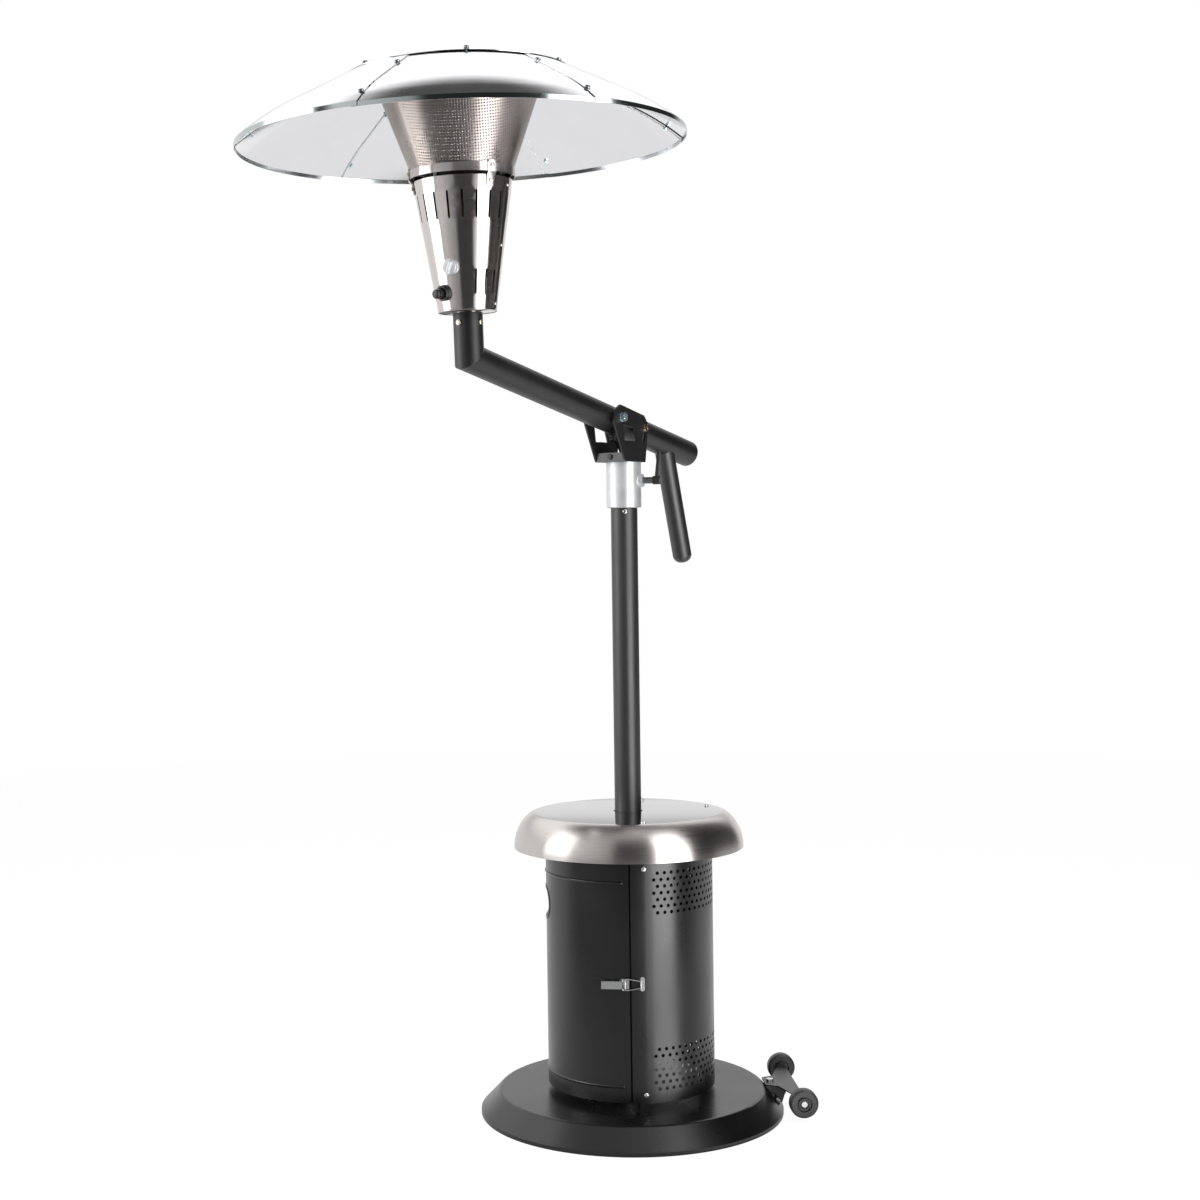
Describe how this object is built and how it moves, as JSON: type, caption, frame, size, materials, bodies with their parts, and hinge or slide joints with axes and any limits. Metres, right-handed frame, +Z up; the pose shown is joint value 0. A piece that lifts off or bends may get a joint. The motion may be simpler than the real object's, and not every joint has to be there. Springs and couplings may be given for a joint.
{
  "type": "propane patio heater",
  "caption": "Offset patio heater: round weighted base with tipping wheels, tank housing with a hinged door, table, swivelling pole head and a tilting arm with a burner under a round canopy.",
  "frame": {"origin": "on the floor at the pole's axis, the middle of the ballast plate's underside", "axes": "+Z up the pole; the arm lies in the XZ plane with the burner head towards -X; -Y is the yoke's near ear in the picture"},
  "size_m": [1.3244, 0.8512, 2.1263],
  "materials": {
    "black_paint": "satin powder coat",
    "raw_steel": "plain mill finish",
    "brushed_stainless": "brushed",
    "perforated_stainless": "fine perforations",
    "bright_aluminium": "bright rolled",
    "collar_aluminium": "satin",
    "zinc": "zinc plated",
    "dark_zinc": "dark plated",
    "cast_zinc": "cast",
    "brass": "machined",
    "chrome": "bright",
    "hose_rubber": "matt",
    "black_plastic": "moulded",
    "nylon": "plain",
    "ceramic": "glazed"
  },
  "bodies": {
    "stand": {"base_cover": "black_paint", "ballast_plate": "raw_steel", "support_posts": "black_paint", "carrier_plate": "black_paint", "pole_socket": "black_paint", "table_top": "brushed_stainless", "body_screws": "zinc", "base_bolts": "zinc", "housing_shell": "black_paint", "latch_strike": "zinc", "door_hinges": "black_paint", "lower_pole": "black_paint", "swivel_spindle": "raw_steel", "wheel_bracket": "black_paint", "wheel_axle": "zinc", "hose_lower": "hose_rubber", "gas_regulator": "cast_zinc"},
    "door": {"housing_door": "black_paint", "door_leaves": "black_paint", "latch_base": "zinc"},
    "latch_lever": {"latch_lever": "zinc"},
    "latch_bail": {"latch_bail": "zinc"},
    "near_wheel": {"near_wheel": "black_plastic"},
    "far_wheel": {"far_wheel": "black_plastic"},
    "swivel_head": {"swivel_collar": "collar_aluminium", "collar_bushes": "nylon", "yoke": "black_paint", "yoke_bolts": "dark_zinc", "hose_middle": "hose_rubber"},
    "clamp": {"clamp_screw": "dark_zinc", "clamp_lever": "black_plastic"},
    "arm": {"arm_tube": "black_paint", "neck_tube": "black_paint", "arm_end_cap": "black_plastic", "handle_tube": "black_paint", "ear_spacers": "nylon", "pivot_bolt": "zinc", "lock_bolt": "zinc", "head_screws": "zinc", "burner_pan": "brushed_stainless", "cone_housing": "brushed_stainless", "cone_rivets": "zinc", "gas_valve": "brass", "hose_upper": "hose_rubber", "burner_pot": "brushed_stainless", "igniter_electrode": "ceramic", "igniter_body": "black_plastic", "ring_band": "brushed_stainless", "ring_tabs": "brushed_stainless", "emitter_screen": "perforated_stainless", "emitter_cap": "brushed_stainless", "canopy_studs": "zinc", "canopy_petals": "bright_aluminium", "canopy_cap": "bright_aluminium", "canopy_screws": "zinc"},
    "knob": {"control_knob": "chrome"},
    "igniter": {"igniter_button": "black_plastic"}
  },
  "joints": [
    {"name": "swivel", "type": "hinge", "parent": "stand", "child": "swivel_head", "pos_m": [0, 0, 1.3465], "axis": [0, 0, 1], "range_deg": [-175, 175]},
    {"name": "arm_tilt", "type": "hinge", "parent": "swivel_head", "child": "arm", "pos_m": [-0.063, 0, 1.48625], "axis": [0, 1, 0], "range_deg": [0, 17], "deforming": ["hose_middle"]},
    {"name": "clamp_turn", "type": "hinge", "parent": "swivel_head", "child": "clamp", "pos_m": [0, 0, 1.355], "axis": [0.3256, -0.9455, 0], "range_deg": [0, 90]},
    {"name": "door_swing", "type": "hinge", "parent": "stand", "child": "door", "pos_m": [0.15474, 0.10049, 0.312], "axis": [0, 0, -1], "range_deg": [0, 120]},
    {"name": "latch_lever_swing", "type": "hinge", "parent": "door", "child": "latch_lever", "pos_m": [-0.16189, -0.09159, 0.312], "axis": [0, 0, 1], "range_deg": [0, 150]},
    {"name": "latch_bail_swing", "type": "hinge", "parent": "latch_lever", "child": "latch_bail", "pos_m": [-0.16348, -0.08675, 0.312], "axis": [0, 0, 1], "range_deg": [-150, 0]},
    {"name": "near_wheel_spin", "type": "hinge", "parent": "stand", "child": "near_wheel", "pos_m": [0.10629, -0.35857, 0.044], "axis": [0.788, 0.6157, 0], "continuous": true},
    {"name": "far_wheel_spin", "type": "hinge", "parent": "stand", "child": "far_wheel", "pos_m": [0.32221, -0.18988, 0.044], "axis": [0.788, 0.6157, 0], "continuous": true},
    {"name": "knob_turn", "type": "hinge", "parent": "arm", "child": "knob", "pos_m": [-0.60771, -0.01649, 1.74021], "axis": [-0.9512, -0.2389, -0.1954], "range_deg": [0, 180]},
    {"name": "igniter_press", "type": "slide", "parent": "arm", "child": "igniter", "axis": [0.9767, -0.0861, 0.1964], "range_m": [0, 0.004], "stiffness_N_per_m": 400}
  ],
  "couplings": [
    {"joint": "latch_bail_swing", "follows": "latch_lever_swing", "ratio": -1}
  ]
}
